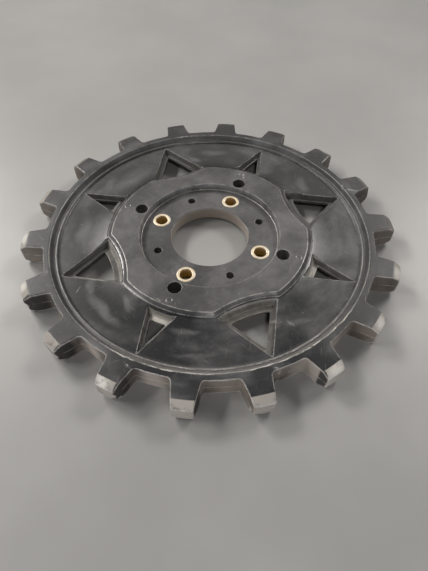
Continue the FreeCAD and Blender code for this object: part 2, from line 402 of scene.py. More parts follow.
for window, angle in WINDOWS:
    centre_radius = (APEX_RADIUS + 2 * window["base"]) / 3
    centre = polar(centre_radius, angle)
    rays = window_rays(window, angle, centre_radius)
    side, land = [partial(distance, window=window, angle=angle) for distance in (window_distance, land_distance)]
    guides += [level_loop(side, centre, level, rays, 60) for level in window_steps]
    guides += [level_loop(land, centre, level, rays, 60) for level in (0, -0.15, -0.5)]
for centre, hole in HOLES:
    guides += [circle(hole + step, 40, centre) for step in (0, 0.15, 0.45, 0.9)]
for centre in GATES:
    guides += [circle(GATE_RADIUS + step, 24, centre) for step in (-1.2, -0.7, 0, 0.7, 1.1)]
print(f"{len(guides)} guide lines with {sum(map(len, guides))} points")


# %% Triangulate the plan and drop what lies in a gap, window or hole
def triangulated(loops):
    points, edges = [], []
    for loop in loops:
        first, count = len(points), len(loop)
        points += [Vector(point) for point in loop]
        edges += [(first + i, first + (i + 1) % count) for i in range(count)]
    vertices, _, faces, _, _, _ = delaunay_2d_cdt(points, edges, [], 0, 0.004)
    return np.array([tuple(v) for v in vertices]), np.array([tuple(f) for f in faces])


def is_solid(points):
    solid = np.hypot(*points.T) < outline_radius(points)
    solid &= np.hypot(*points.T) > BORE_RADIUS
    for window, angle in WINDOWS:
        solid &= land_distance(points, window, angle) < 0
    for centre, hole in HOLES:
        solid &= np.hypot(*(points - centre).T) > hole
    return solid


plan, triangles = triangulated(guides)
triangles = triangles[is_solid(plan[triangles].mean(1))]
used, triangles = np.unique(triangles, return_inverse=True)
plan, triangles = plan[used], triangles.reshape(-1, 3)
print(f"plan of {len(plan)} points and {len(triangles)} triangles")

# %% [markdown]
# ## From plan to solid
# The plan is lifted twice, to the upper and to the lower face, and its open edges are joined by walls.
# The tooth walls lean out by the draft to a thin raised parting line at mid height, where the two
# halves of the mould met.

# %% Walls between the two faces
PARTING_RISE = 0.2
WALL_LEVELS = [0.88, 0.62, 0.36, 0.1, 0.034, 0.0, -0.034, -0.1, -0.36, -0.62, -0.88]


def open_edges(faces):
    """The directed edges that belong to one triangle only."""
    edges = np.vstack([faces[:, [0, 1]], faces[:, [1, 2]], faces[:, [2, 0]]])
    keys = np.sort(edges, axis=1)
    _, index, count = np.unique(keys, axis=0, return_index=True, return_counts=True)
    return edges[index[count == 1]]


def outward_normals(points, edges):
    """At each point of the open edges, the mean direction that faces away from the solid."""
    run = points[edges[:, 1]] - points[edges[:, 0]]
    normal = np.stack([run[:, 1], -run[:, 0]], -1)
    total = np.zeros_like(points)
    for end in (0, 1):
        np.add.at(total, edges[:, end], normal)
    return total / np.maximum(np.hypot(*total.T), 1e-9)[:, None]


rim_walls = open_edges(triangles)
normals = outward_normals(plan, rim_walls)
print(f"{len(rim_walls)} wall strips")

# %% The moulding as one closed mesh
upper_depth, upper_wear_and_highlight = face_depth(plan, RECESS_DEPTH)
lower_depth, lower_wear_and_highlight = face_depth(plan, UNDERSIDE_DEPTH)
top = np.column_stack([plan, WIDTH - upper_depth])
bottom = np.column_stack([plan, lower_depth])
vertices, wear_and_highlight, parting = [top, bottom], [upper_wear_and_highlight, lower_wear_and_highlight], [np.zeros(len(plan))] * 2
faces = [tuple(face) for face in triangles]
faces += [tuple(face[::-1] + len(plan)) for face in triangles]

wall_points = np.unique(rim_walls)
wall_radius = np.hypot(*plan[wall_points].T)
is_tooth = wall_radius > ROOT_RADIUS - TOOTH_MARGIN
rows = [wall_points]
offset = 2 * len(plan)
for level in WALL_LEVELS:
    height = (top[wall_points, 2] * (1 + level) + bottom[wall_points, 2] * (1 - level)) / 2
    lean = (MID_HEIGHT - np.abs(height - MID_HEIGHT)) * DRAFT + PARTING_RISE * (level == 0)
    lean = np.where(is_tooth, lean, 0)
    inside_crest = np.minimum(lean, np.maximum(CREST_RADIUS - wall_radius, 0))
    moved = plan[wall_points] + normals[wall_points] * inside_crest[:, None]
    vertices.append(np.column_stack([moved, height]))
    wear_and_highlight.append(np.zeros(len(wall_points)))
    parting.append(is_tooth * float(level == 0))
    rows.append(offset + np.arange(len(wall_points)))
    offset += len(wall_points)
rows.append(wall_points + len(plan))
place = {int(point): index for index, point in enumerate(wall_points)}
for a, b in rim_walls:
    a, b = place[int(a)], place[int(b)]
    faces += [(row[b], row[a], lower[a], lower[b]) for row, lower in zip(rows, rows[1:])]
print(f"moulding of {offset} points and {len(faces)} faces")

# %% Chewed tooth corners
# Where the track tore at a tooth: angle, radius and height of the spot, its reach and how deep it goes.
CHEWED = [(-113.0, 188, 7, 10, 2.6), (-133.0, 188, 8, 10, 2.4), (-153.0, 188, 10, 10, 2.6),
          (-158, 189, 17, 8, 1.2), (-79.6, 188, 6, 9, 2.2), (-59, 188, 5, 7, 1.2),
          (-93.2, 188, 4, 7, 1.4), (21, 188, 20, 8, 1.2)]
TORN_LUMP = 3
moulding_points = np.vstack(vertices)
for angle, radius, height, reach, deep in CHEWED:
    spot = np.array([*polar(radius, angle), height])
    span = moulding_points - spot
    hold = np.clip(1 - (span ** 2).sum(1) / reach ** 2, 0, 1) ** 1.5
    tooth_angle = FIRST_TOOTH + PITCH * round((angle - FIRST_TOOTH) / PITCH)
    inward = polar(ROOT_RADIUS, tooth_angle) - spot[:2]
    for index in np.flatnonzero(hold):
        lump = 0.8 + 1.2 * worn_noise(Vector(moulding_points[index]) / TORN_LUMP)
        moulding_points[index, :2] += inward / np.hypot(*inward) * deep * hold[index] * lump
print(len(CHEWED), "chewed corners, radius now up to", np.hypot(*moulding_points[:, :2].T).max().round(2))


# %% Mesh object with its notes of wear and painted highlights
def mesh_object(name, points, polygons, smooth_angle=35.0):
    mesh = bpy.data.meshes.new(name)
    corners = [tuple(map(float, point)) for point in points]
    mesh.from_pydata(corners, [], [tuple(map(int, face)) for face in polygons])
    mesh.validate()
    mesh.shade_smooth()
    mesh.set_sharp_from_angle(angle=math.radians(smooth_angle))
    piece = bpy.data.objects.new(name, mesh)
    bpy.context.scene.collection.objects.link(piece)
    flatten = piece.modifiers.new("flat faces keep their shading", "WEIGHTED_NORMAL")
    flatten.mode, flatten.weight, flatten.keep_sharp = "FACE_AREA", 60, True
    evaluated = piece.evaluated_get(bpy.context.evaluated_depsgraph_get())
    piece.data = bpy.data.meshes.new_from_object(evaluated)
    piece.data.name = name
    piece.modifiers.clear()
    return piece


moulding = mesh_object("sprocket_moulding", moulding_points * MM, faces)
seen_from_above = np.vstack(vertices)[:, :2]
hub_face = np.clip((4.6 - boss_distance(seen_from_above)) / 2.4, 0, 1)
in_window = np.max([window_distance(seen_from_above, window, angle) for window, angle in WINDOWS], axis=0)
in_pocket = np.clip((in_window - 0.3) / 0.8, 0, 1)
in_hole = np.max([np.hypot(*(seen_from_above - centre).T) < hole + 0.05 for centre, hole in HOLES], axis=0)
notes = {"edge_wear_and_highlight": wear_and_highlight, "parting_line": parting, "hub_face": [hub_face], "in_pocket": [in_pocket],
         "in_hole": [in_hole]}
for name, values in notes.items():
    layer = moulding.data.attributes.new(name, "FLOAT", "POINT")
    layer.data.foreach_set("value", np.concatenate(values).astype(np.float32))
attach(moulding, "root")
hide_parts("sprocket_body")
print(f"{moulding.name}: {len(moulding.data.polygons)} faces")

# %% [markdown]
# ## Colours and nodes
# A colour is written as the sRGB hex value that a picture would show and is turned to linear light once,
# because shaders work in linear light. One function adds every node. A table gives the nodes that come
# back often a short name, their settings, the inputs that plain values fill in order, and the output.

# %% Colours
def linear(hex_colour):
    channels = [int(hex_colour[i:i + 2], 16) / 255 for i in (1, 3, 5)]
    return [c / 12.92 if c <= 0.04045 else ((c + 0.055) / 1.055) ** 2.4 for c in channels] + [1.0]


print("mid grey in linear light:", [round(c, 3) for c in linear("#808080")[:3]])

# %% Short names of nodes
NODE_KINDS = {
    "ramp": ("ShaderNodeMapRange", {"interpolation_type": "SMOOTHSTEP"}, (0, 1, 2, 3, 4), 0),
    "mix": ("ShaderNodeMix", {"data_type": "RGBA"}, (0, 6, 7), 2),
    "mix values": ("ShaderNodeMix", {"data_type": "FLOAT"}, (0, 2, 3), 0),
    "noise": ("ShaderNodeTexNoise", {}, ("Vector", "Scale", "Detail", "Roughness", "Distortion"), 0),
    "mapped": ("ShaderNodeMapping", {"vector_type": "TEXTURE"}, ("Vector",), 0),
    "place": ("ShaderNodeTexCoord", {}, (), "Object"),
    "normal": ("ShaderNodeNewGeometry", {}, (), "Normal"),
    "note": ("ShaderNodeAttribute", {}, (), "Fac"),
    "height": ("ShaderNodeSeparateXYZ", {}, (0,), "Z"),
    "upward": ("ShaderNodeCombineXYZ", {}, ("Z",), 0),
    "bump": ("ShaderNodeBump", {}, ("Strength", "Distance", "Height"), 0),
    "surface": ("ShaderNodeBsdfPrincipled", {}, ("Base Color", "Roughness"), 0)}
for name in ("add", "subtract", "multiply", "maximum", "absolute"):
    NODE_KINDS[name] = ("ShaderNodeMath", {"operation": name.upper()}, (0, 1), 0)
for name, operation, inputs, output in (
        ("add vectors", "ADD", (0, 1), "Vector"), ("multiply vectors", "MULTIPLY", (0, 1), "Vector"),
        ("scale and shift", "MULTIPLY_ADD", (0, 1, 2), "Vector"), ("direction", "NORMALIZE", (0,), "Vector"),
        ("scale", "SCALE", (0, "Scale"), "Vector"), ("length", "LENGTH", (0,), "Value"),
        ("dot", "DOT_PRODUCT", (0, 1), "Value")):
    NODE_KINDS[name] = ("ShaderNodeVectorMath", {"operation": operation}, inputs, output)
print(len(NODE_KINDS), "short names")


# %% Adding a node
def add_node(tree, kind, *values, **named):
    """Adds a node, sets it, links or fills its inputs, and returns its output.

    Plain values fill the kind's inputs in order. A name that starts with a capital is an input, with _
    for a space, and any other name is one of the node's settings.
    """
    node_type, settings, order, output = NODE_KINDS.get(kind, (kind, {}, (), 0))
    node = tree.nodes.new(node_type)
    inputs = dict(zip(order, values))
    for name, value in {**settings, **named}.items():
        if name[0].isupper():
            inputs[name.replace("_", " ")] = value
        else:
            setattr(node, name, value)
    for key, value in inputs.items():
        if isinstance(value, bpy.types.NodeSocket):
            tree.links.new(value, node.inputs[key])
        else:
            node.inputs[key].default_value = value
    return node.outputs[output] if node.outputs else None


def combined(tree, kind, *values):
    """One value from several, by a chain of one kind of node, such as multiply or maximum."""
    return reduce(partial(add_node, tree, kind), values)


def per_mm(size):
    """The scale at which a texture's lumps are about this many millimetres across."""
    return 1 / (size * MM)


def new_material(name):
    material = bpy.data.materials.new(name)
    material.use_nodes = True
    material.node_tree.nodes.clear()
    return material


print("a lump of 8 mm needs a scale of", per_mm(8))

# %% [markdown]
# ## Black moulded plastic
# The body is a tough engineering plastic, moulded and then used. That gives the eye a satin black with
# broad soft lights, a fine grain, pale films where it was wiped, and paler chafed plastic along every
# exposed edge. Edge wear follows the notes stored on the mesh, broken up by noise, and a few of its lines
# are painted highlights. Broad pale patches on the web and rim are painted reflections of the lamps, and
# the front-left side is painted paler, as painted light. The tooth walls are stained brownish grey and
# painted lighter where lamps fall on them, the tips of the front teeth are rubbed pale and painted paler
# where their bevels catch light, some window walls carry a painted reflection, and some flanks are dark,
# partly torn plastic and partly painted shade. These places are set one by one, as soft patches on the part.

# %% Places with a wear or a painted light of their own
# Each row is the angle and radius of the place, its length, its width and its turn from the radius.
# Scuffs from the track and from handling.
SCUFFS = [
    (-160, 165, 16, 3.5, 20), (-114, 164, 14, 2.5, 70), (-70, 163, 12, 2.2, 60), (21, 165, 20, 4.5, -35),
    (24, 158, 12, 3, 60), (112, 166, 10, 2.5, 10), (-60, 120, 16, 6, 50), (-56, 128, 12, 4, 10),
    (-72, 136, 10, 1.1, 30), (-70, 140, 6, 0.9, 80), (-67, 133, 6, 0.9, 10), (-150, 140, 12, 1.2, 40),
    (-118, 97, 9, 4, 80), (66, 92, 14, 4, 20), (60, 108, 12, 4, 0), (-30, 168, 10, 3, 60),
    (6, 96, 10, 2.5, 40)]
# Pale films left by wiping on the web and the rim, and broad pale patches painted where they mirror a lamp:
# painted reflections.
FILMS_AND_REFLECTIONS = [
    (-135, 133, 76, 15, 90), (-125, 163, 44, 13, 90), (-162, 165, 20, 12, 90), (-150, 128, 40, 12, 60),
    (136, 122, 100, 34, 90), (130, 163, 160, 22, 90), (22, 163, 50, 12, 90), (-130, 113, 30, 9, 60),
    (-92, 138, 70, 9, 90), (-52, 132, 60, 10, 60), (178, 128, 60, 26, 90), (88, 132, 44, 16, 90),
    (100, 120, 30, 14, 60), (-8, 130, 50, 14, 100), (36, 126, 40, 20, 60), (-100, 118, 40, 10, 96)]
# Tooth tips rubbed pale, and painted paler where their bevels catch the lamps: partly a painted highlight.
RUBBED = [
    (-158, 185, 16, 16, 0), (-56, 185, 16, 26, 0), (-117.5, 185, 16, 20, 0), (-36, 185, 14, 24, 0),
    (-17, 185, 14, 24, 0), (-177, 185, 14, 24, 0)]
# Window walls painted pale where they face the camera and mirror the bright table: painted reflections.
WALL_REFLECTIONS = [(-114, 109, 22, 34, 0), (-24, 109, 18, 34, 0), (-152.5, 125, 62, 11, -35)]
# Flanks of the front teeth painted dark: torn or oily plastic, and painted shade on flanks that turn away from
# the lamps.
DARK_AND_SHADED_FLANKS = [
    (-152.6, 180, 36, 13, -8), (-132.6, 183, 34, 11, -8), (-112.6, 183, 34, 11, -8),
    (-59.6, 184, 14, 7, 0), (-92.6, 182, 30, 7, -8)]
# Walls of tooth gaps painted light where the lamps fall on them: painted light.
LIT_GAP_WALLS = [(-56, 172, 60, 90, 0), (-127, 168, 30, 26, 0), (-106, 166, 20, 34, 0)]
print(len(SCUFFS), "scuffs and", len(FILMS_AND_REFLECTIONS), "films")


# %% Soft patches and scratches
def patches(tree, place, table):
    """1 in the middle of each soft patch of a table and 0 outside them all."""
    found = []
    for angle, radius, length, width, turn in table:
        middle = (*polar(radius * MM, angle), 0)
        there = add_node(tree, "mapped", place, Location=middle, Rotation=(0, 0, math.radians(angle + turn)),
                         Scale=(length * MM / 2, width * MM / 2, 1))
        found.append(add_node(tree, "ramp", add_node(tree, "length", there), 1.0, 0.15))
    return combined(tree, "maximum", *found)


SCRATCH_LENGTH, SCRATCH_WIDTH, SCRATCH_TURNS = 14, 0.8, (25, -40, 80)


def scratches(tree, place, turn):
    """Fine straight scratches that run in one direction, as a box or a bench leaves them."""
    along = add_node(tree, "mapped", place, Rotation=(0, 0, math.radians(turn)),
                     Scale=(SCRATCH_LENGTH * MM, SCRATCH_WIDTH * MM, 1))
    return add_node(tree, "ramp", add_node(tree, "noise", along, 1.0, 0.0), 0.78, 0.84)


print("scratches run in", len(SCRATCH_TURNS), "directions")

# %% Where a point is and which way it faces
BLACK_PLASTIC = new_material("black moulded plastic")
skin_tree = BLACK_PLASTIC.node_tree
node, join = partial(add_node, skin_tree), partial(combined, skin_tree)
SWEEP_RADIUS = 60
FRONT_LEFT, FRONT = (*polar(1, -110), 0), (*polar(1, -80), 0)

place, normal = node("place"), node("normal")
facing = node("absolute", node("height", normal))
edge, seam, hub, hole, pocket = [node("note", attribute_name=name) for name in (
    "edge_wear_and_highlight", "parting_line", "hub_face", "in_hole", "in_pocket")]
flat = node("multiply vectors", place, (1, 1, 0))
radius, direction = node("length", flat), node("direction", flat)
swept = node("add vectors", node("scale", direction, SWEEP_RADIUS * MM), node("upward", radius))
leaning = node("dot", direction, normal)
outward = node("ramp", leaning, 0.2, 0.4)
# Painted light: this mask is 1 on the front-left side of the part and 0.4 at the back, so that edges, tips and
# window walls come out paler on the side the lamps light most.
lit_side_paler = node("ramp", node("dot", direction, FRONT_LEFT), -0.5, 0.05, 0.4, 1.0)
frontward = node("dot", direction, FRONT)
print("the swept noise runs round the part, stretched along a circle of", SWEEP_RADIUS, "mm")

# %% Noises, from clouds of 42 mm to a grain of 0.7 mm
# A real moulded grain is finer than 0.1 mm, too fine to show here, so it is drawn coarser.
cloud = node("noise", place, per_mm(42), 4, 0.5, 0.3)
wiped = node("noise", swept, per_mm(9), 4, 0.55)
smear = node("noise", place, per_mm(8), 5, 0.65, 0.6)
speck = node("noise", place, per_mm(1.8), 3, 0.6)
grain = node("noise", place, per_mm(0.7), 2, 0.6)
print(len(skin_tree.nodes), "nodes so far")

# %% Rings of the part
# Radii in millimetres: where a ring starts to show and where it is full. For a ring with two sides, the
# same for its other side follows. The bore's wear begins at its wall and is full inside it.
RIM, TIPS, BORE = (157.0, 158.5), (180.6, 181.6), (46.0, 42.0)
RECESS_WALL = (69.4, 70.0, 73.0, 71.5)
GROOVE = (150.0, 151.2, 158.8, 157.6)


def ring(start, full, end=None, full_end=None):
    """1 in a ring of the part, with soft sides."""
    inner = node("ramp", radius, start * MM, full * MM)
    return inner if end is None else node("multiply", inner, node("ramp", radius, end * MM, full_end * MM))


def thin_line(at, line_radius, reach, core):
    """1 on a thin line round the part, 0 beyond its reach."""
    return node("ramp", node("absolute", node("subtract", at, line_radius * MM)), reach * MM, core * MM)


rim, groove, tips = ring(*RIM), ring(*GROOVE), ring(*TIPS)
wall = node("maximum", node("ramp", facing, 0.56, 0.44), node("multiply", pocket, lit_side_paler))
unworn = node("maximum", hole, ring(*RECESS_WALL))
wall = node("multiply", wall, node("ramp", unworn, 0.2, 0.8, 1.0, 0.12))
print("rim, groove and tips start at", RIM[0], GROOVE[0], TIPS[0], "mm")

# %% Films and painted reflections, scuffs, rubbed tips, painted wall reflections, and dark flanks with painted shade
DRIFT = 6 * MM
swirl = node("noise", place, per_mm(22), 3.0).node.outputs["Color"]
swirl = node("scale and shift", swirl, (2 * DRIFT, 2 * DRIFT, 0), (-DRIFT, -DRIFT, 0))
drifted = node("add vectors", place, swirl)
# Pale wiped films, and broad painted reflections of the lamps on the web and rim, mostly in the upper-left
# sector.
film_and_reflection = node("multiply", patches(skin_tree, drifted, FILMS_AND_REFLECTIONS), node("ramp", wiped, 0.3, 0.7, 0.6, 1.0))
haze = node("multiply", node("ramp", cloud, 0.4, 0.7), node("ramp", wiped, 0.3, 0.7, 0.3, 0.9))
film_and_reflection = node("maximum", film_and_reflection, haze)
scuff = node("multiply", patches(skin_tree, place, SCUFFS), node("ramp", smear, 0.42, 0.6))
bevel = node("ramp", facing, 0.25, 0.5)
below_face = node("ramp", facing, 0.97, 0.9)
rubbed_and_sheen = join("multiply", patches(skin_tree, place, RUBBED), node("ramp", smear, 0.3, 0.5, 0.4, 1.0),
              outward, below_face, bevel)
# Painted reflection: window walls that face the camera are painted pale, as if they mirrored the bright table.
wall_reflection = join("multiply", patches(skin_tree, place, WALL_REFLECTIONS), pocket, node("ramp", leaning, -0.2, 0.0))
rubbed_and_sheen = node("maximum", rubbed_and_sheen, wall_reflection)
# Dark flanks: partly torn or oily plastic, partly painted shade.
dark_and_shade = node("add", patches(skin_tree, place, DARK_AND_SHADED_FLANKS), node("multiply", smear, 0.3))
dark_and_shade = node("multiply", node("ramp", dark_and_shade, 0.2, 0.72), below_face)
# Tooth tips: worn pale bevels, made paler on the front left by the painted light of the side mask.
tip = join("multiply", tips, node("ramp", smear, 0.3, 0.5, 0.5, 1.0), lit_side_paler, outward,
           node("ramp", bevel, 0.0, 1.0, 0.65, 1.0))
print(len(skin_tree.nodes), "nodes so far")

# %% Lines, painted highlights, dots and streaks
# A pale thin line painted on the fillet round the recess floor is a painted highlight, for the light that this
# small fillet would catch.
RIM_LINE, FLOOR_HIGHLIGHT = 158.5, RECESS_RADIUS - 1.1
# Pale lines along the exposed edges: chafed plastic, and in places painted highlights, stronger on the front
# left.
line = join("multiply", node("ramp", edge, 0.15, 0.8), node("ramp", smear, 0.35, 0.6, 0.25, 1.0),
            node("ramp", lit_side_paler, 0.4, 1.0, 0.6, 1.0))
seam_mark = node("multiply", seam, node("ramp", smear, 0.42, 0.6))
painted_floor_highlight = node("multiply", thin_line(radius, FLOOR_HIGHLIGHT, 0.6, 0.25),
                  node("ramp", smear, 0.3, 0.55, 0.5, 1.0))
wander = node("multiply", node("subtract", node("noise", place, per_mm(13), 4, 0.5), 0.5), 3.0 * MM)
whitened = join("multiply", thin_line(node("add", radius, wander), RIM_LINE, 0.8, 0.35),
                node("ramp", frontward, 0.66, 0.8),
                node("ramp", node("noise", place, per_mm(9), 5, 0.7), 0.4, 0.56, 0.1, 0.9))
scored = join("maximum", *[scratches(skin_tree, place, turn) for turn in SCRATCH_TURNS])
dots = node("ShaderNodeTexVoronoi", Vector=place, Scale=per_mm(7))
dots = node("multiply", node("ramp", dots, 0.09, 0.05), node("ramp", smear, 0.5, 0.6))
# Painted light: the groove is painted paler towards the front, where its floor lies in shade, broken into
# streaks by noise.
groove_streaks_and_light = join("multiply", groove, node("ramp", frontward, 0.6, 0.9, 0.12, 0.7),
               node("ramp", smear, 0.3, 0.6, 0.7, 1.0))
pale = join("maximum", node("multiply", line, 0.5), node("multiply", seam_mark, 0.8),
            node("multiply", scuff, 0.55), node("multiply", painted_floor_highlight, 0.6), whitened)
print(len(skin_tree.nodes), "nodes so far")


# %% The colour, laid down coat by coat
def layered(colour, *layers):
    """A colour with others over it, each with where it lies and how much it covers."""
    for where, cover, over in layers:
        colour = node("mix", node("multiply", where, cover), colour, linear(over))
    return colour


mottle = node("add", node("multiply", cloud, 0.6), node("multiply", smear, 0.4))
hub_colour = node("mix", node("ramp", mottle, 0.36, 0.64), linear("#3f3f41"), linear("#565555"))
face_colour = layered(
    node("mix", hub, linear("#27282a"), hub_colour), (film_and_reflection, 0.4, "#858587"), (scored, 0.25, "#a5a39f"),
    (dots, 0.5, "#b5b3ae"), (groove_streaks_and_light, 1.0, "#7f7d7b"), (node("ramp", speck, 0.55, 0.8), 0.2, "#8b8780"))

# Tooth walls stained brownish grey, with painted light on the walls that face the lamps.
stain_and_light = node("mix", node("ramp", cloud, 0.3, 0.7), linear("#443d37"), linear("#7a7168"))
stain_and_light = layered(stain_and_light, (patches(skin_tree, place, LIT_GAP_WALLS), 0.75, "#a89f96"))
blotch = node("ramp", smear, 0.3, 0.7)
# Window walls that face out from the hub are painted paler than the side walls: a painted reflection of the
# bright table on the one and painted shade on the other.
shaded_window_side = node("mix", blotch, linear("#454442"), linear("#605e5b"))
lit_window_base = node("mix", blotch, linear("#86847f"), linear("#aca9a3"))
window_wall_light_and_shade = node("mix", node("ramp", leaning, -0.1, 0.4), shaded_window_side, lit_window_base)
wall_colour = layered(node("mix", rim, window_wall_light_and_shade, stain_and_light), (ring(*BORE), 1.0, "#aaa198"))

colour = layered(
    node("mix", wall, face_colour, wall_colour), (tip, 0.85, "#aaa49c"), (rubbed_and_sheen, 0.82, "#dad6cf"),
    (dark_and_shade, 0.94, "#211e1c"), (pale, 1.0, "#c4c1bb"))
print(len(skin_tree.nodes), "nodes so far")

# %% Gloss and fine relief
# Moulded plastic is satin at a roughness of about 0.3 to 0.4. Its IOR is that of nylon.
satin_rim = node("multiply", rim, node("ramp", frontward, 0.75, 0.95, 1.0, 0.1))
flat_rough = node("ramp", node("maximum", hub, satin_rim), 0.0, 1.0, 0.3, 0.42)
curved_rough = node("ramp", groove, 0.0, 1.0, 0.22, 0.36)
rough = node("mix values", node("ramp", facing, 0.99, 0.95), flat_rough, curved_rough)
rough = node("add", rough, node("multiply", film_and_reflection, 0.12))
rough = node("add", rough, node("multiply", join("maximum", tip, wall, scuff), 0.3), use_clamp=True)
torn = join("multiply", wall, rim, smear, 9.0)
relief = join("add", node("multiply", grain, 0.3), node("multiply", speck, 0.7), torn)
skin = node("surface", colour, rough, Normal=node("bump", 0.12, 0.1 * MM, relief), IOR=1.53)
node("ShaderNodeOutputMaterial", Surface=skin)
moulding.data.materials.append(BLACK_PLASTIC)
print(BLACK_PLASTIC.name, "with", len(skin_tree.nodes), "nodes")

# %% [markdown]
# ## Brass bushes
# Each bush is a turned sleeve, so a tree of Geometry Nodes turns one half section about its own axis and
# sets a copy on the bolt circle four times. Instances are made real at the end, because an exported
# model keeps only real geometry.

# %% Geometry Nodes helpers
def new_tree(name, inputs):
    """A tree with geometry in and out and named number inputs, and its input sockets by name."""
    tree = bpy.data.node_groups.new(name, "GeometryNodeTree")
    tree.interface.new_socket("Geometry", in_out="INPUT", socket_type="NodeSocketGeometry")
    for label, value in inputs.items():
        kind = "NodeSocketInt" if isinstance(value, int) else "NodeSocketFloat"
        tree.interface.new_socket(label, in_out="INPUT", socket_type=kind).default_value = value
    tree.interface.new_socket("Geometry", in_out="OUTPUT", socket_type="NodeSocketGeometry")
    return tree, tree.nodes.new("NodeGroupInput").outputs


def baked_from_tree(name, tree, values):
    """Runs a tree on an empty mesh, with inputs set by identifier, and keeps the result as a plain mesh."""
    carrier = bpy.data.objects.new(name + "_carrier", bpy.data.meshes.new(name + "_carrier"))
    bpy.context.scene.collection.objects.link(carrier)
    modifier = carrier.modifiers.new("build", "NODES")
    modifier.node_group = tree
    for item in tree.interface.items_tree:
        if item.item_type == "SOCKET" and item.in_out == "INPUT" and item.name in values:
            modifier[item.identifier] = values[item.name]
    evaluated = carrier.evaluated_get(bpy.context.evaluated_depsgraph_get())
    mesh = bpy.data.meshes.new_from_object(evaluated)
    mesh.name = name
    bpy.data.objects.remove(carrier)
    piece = bpy.data.objects.new(name, mesh)
    bpy.context.scene.collection.objects.link(piece)
    return piece


print("geometry node helpers ready")


# %% Turned brass
# Brass is a pale yellow metal. Worn by bolts, its faces are bright with thin tarnish. Lower down its bore is
# painted a deeper gold, standing in for light that meets its walls more than once, and near the bottom it is
# painted dark, a painted shade.
def turned_brass():
    material = new_material("turned brass")
    node = partial(add_node, material.node_tree)
    place = node("place")
    tarnish = node("ramp", node("noise", place, per_mm(4), 4, 0.6), 0.35, 0.7)
    scuff = node("ramp", node("noise", place, per_mm(0.8), 3, 0.7), 0.5, 0.7)
    height = node("height", place)
    colour = node("mix", node("multiply", tarnish, 0.5), linear("#fdf3de"), linear("#e2c392"))
    colour = node("mix", node("multiply", scuff, 0.35), colour, linear("#fff4dc"))
    # Painted light: the bore is made a deeper gold lower down, for light that meets its walls more than once.
    colour = node("mix", node("ramp", height, 17.5 * MM, 9 * MM, 0.0, 0.9), colour, linear("#dcb86a"))
    # Painted shade: the lowest part of the bore is made almost black, where one looks down into shadow.
    colour = node("mix", node("ramp", height, 7.5 * MM, 4 * MM, 0.0, 0.75), colour, linear("#33230f"))
    rough = node("ramp", tarnish, 0.0, 1.0, 0.4, 0.5)
    bump = node("bump", 0.2, 0.08 * MM, node("noise", place, per_mm(0.6), 2, 0.55))
    metal = node("surface", colour, rough, Normal=bump, Metallic=0.9)
    node("ShaderNodeOutputMaterial", Surface=metal)
    return material


BRASS = turned_brass()
print(BRASS.name)


# %% Four bushes from one half section
def bush_tree():
    """A rounded rectangle is swept round the axis of a bush, and the bush is set on the bolt circle."""
    tree, given = new_tree("turned sleeve", {
        "Inner Radius": 1.0, "Outer Radius": 2.0, "Low": 0.0, "High": 1.0, "Edge": 0.1,
        "Circle Radius": 5.0, "First Angle": 0.0, "Count": 4, "Segments": 64})
    node = partial(add_node, tree)
    mean_radius = node("multiply", node("add", given["Inner Radius"], given["Outer Radius"]), 0.5)
    way_round = node("GeometryNodeCurvePrimitiveCircle", mode="RADIUS", Resolution=given["Segments"],
                     Radius=mean_radius)
    tall = node("subtract", given["High"], given["Low"])
    thick = node("subtract", given["Outer Radius"], given["Inner Radius"])
    section = node("GeometryNodeCurvePrimitiveQuadrilateral", mode="RECTANGLE", Width=thick, Height=tall)
    rounded = node("GeometryNodeFilletCurve", mode="POLY", Curve=section, Count=3, Radius=given["Edge"])
    sleeve = node("GeometryNodeCurveToMesh", Curve=way_round, Profile_Curve=rounded)
    mean_height = node("multiply", node("add", given["High"], given["Low"]), 0.5)
    sleeve = node("GeometryNodeTransform", Geometry=sleeve, Translation=node("upward", mean_height))
    places = node("GeometryNodeMeshCircle", Vertices=given["Count"], Radius=given["Circle Radius"])
    places = node("GeometryNodeTransform", Geometry=places, Rotation=node("upward", given["First Angle"]))
    copies = node("GeometryNodeInstanceOnPoints", Points=places, Instance=sleeve)
    real = node("GeometryNodeRealizeInstances", Geometry=copies)
    smooth = node("GeometryNodeSetShadeSmooth", Geometry=real)
    finish = node("GeometryNodeSetMaterial", Geometry=smooth, Material=BRASS)
    node("NodeGroupOutput", Geometry=finish)
    return tree


BUSH_EDGE = 0.45
bush_low, bush_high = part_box("brass_bush_1")
bushes = baked_from_tree("brass_bushes", bush_tree(), {
    "Inner Radius": BUSH_INNER * MM, "Outer Radius": BUSH_OUTER * MM, "Low": bush_low.z,
    "High": bush_high.z, "Edge": BUSH_EDGE * MM, "Circle Radius": BOLT_CIRCLE * MM,
    "First Angle": math.radians(BOLT_ANGLE), "Count": QUARTERS, "Segments": 64})
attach(bushes, "root")
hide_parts(*[f"brass_bush_{number}" for number in range(1, QUARTERS + 1)])
print(bushes.name, len(bushes.data.polygons), "faces")

# %% [markdown]
# ## Moulding flash
# Where the two mould halves or an insert met badly, a thin lip of plastic squeezed out and was later
# scraped off by hand. What is left is a broken, lumpy pale thread along the inner edge of the rim and
# on the bead. A tree lays a tube along an arc and lets noise thin it, wave it and break it up.

# %% Pale scraped plastic
# Black plastic turns pale and matt where a blade has torn its skin.
def scraped_plastic():
    material = new_material("scraped whitened plastic")
    node = partial(add_node, material.node_tree)
    fleck = node("noise", node("place"), per_mm(1.2), 3, 0.6)
    colour = node("mix", node("ramp", fleck, 0.35, 0.65), linear("#8d8c8b"), linear("#d2d1cf"))
    rough = node("ramp", fleck, 0.3, 0.7, 0.45, 0.65)
    scraped = node("surface", colour, rough, Normal=node("bump", 0.4, 0.1 * MM, fleck))
    node("ShaderNodeOutputMaterial", Surface=scraped)
    return material


SCRAPED = scraped_plastic()
print(SCRAPED.name)


